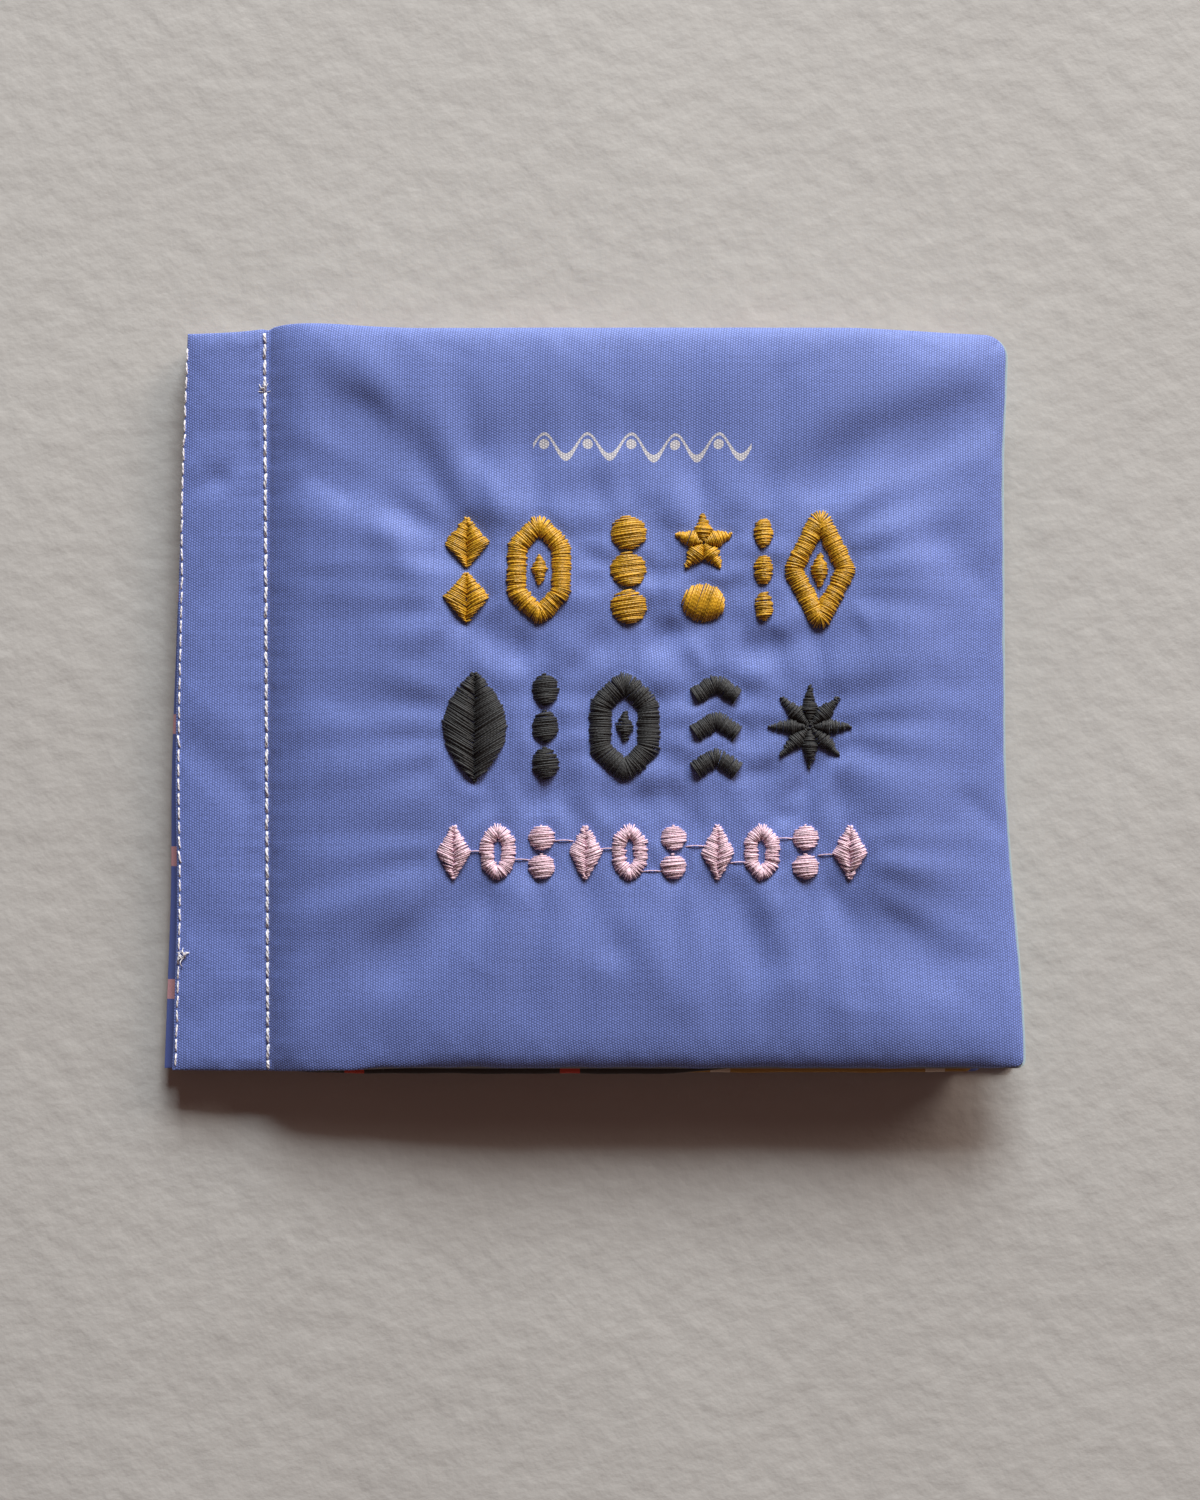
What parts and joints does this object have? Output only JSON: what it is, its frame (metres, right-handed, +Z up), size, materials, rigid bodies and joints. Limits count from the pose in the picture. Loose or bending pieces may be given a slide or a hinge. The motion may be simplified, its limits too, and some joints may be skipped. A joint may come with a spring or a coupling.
{
  "type": "crinkle book",
  "caption": "Soft, nearly square cloth book with wrinkled, stuffed covers that hold crinkle film, and cloth leaves, bound by a line of stitches beside the spine edge.",
  "frame": {"origin": "on the table, under the middle of the closed book's bounding box", "axes": "+X from the spine edge to the fore-edge, +Y from the bottom edge to the top edge, +Z up"},
  "size_m": [0.1594, 0.1382, 0.0154],
  "materials": {
    "cover_cloth": "periwinkle blue plain-weave cotton, wrinkled",
    "lining_cloth": "pale mint plain-weave cotton",
    "page_cloth": "dyed plain-weave cotton in mustard, charcoal, cream and pink",
    "crinkle_film": "thin clear crackling film",
    "white_thread": "twisted white sewing thread",
    "gold_thread": "shiny gold satin stitch",
    "charcoal_thread": "charcoal satin stitch",
    "pink_thread": "pale pink satin stitch"
  },
  "bodies": {
    "book_block": {"pages": "page_cloth", "front_margin": "cover_cloth", "front_lining_margin": "lining_cloth", "back_margin": "cover_cloth", "back_lining_margin": "lining_cloth", "binding_seam": "white_thread"},
    "front_flap": {"front_cover": "cover_cloth", "front_lining": "lining_cloth", "front_film": "crinkle_film", "gold_embroidery": "gold_thread", "charcoal_embroidery": "charcoal_thread", "pink_embroidery": "pink_thread"},
    "back_flap": {"back_cover": "cover_cloth", "back_lining": "lining_cloth", "back_film": "crinkle_film"}
  },
  "joints": [
    {"name": "front_cover_hinge", "type": "hinge", "parent": "book_block", "child": "front_flap", "pos_m": [-0.0594, 0, 0.00725], "axis": [0, -1, 0], "range_deg": [0, 165]},
    {"name": "back_cover_hinge", "type": "hinge", "parent": "book_block", "child": "back_flap", "pos_m": [-0.0594, 0, 0], "axis": [0, 1, 0], "range_deg": [0, 165]}
  ]
}
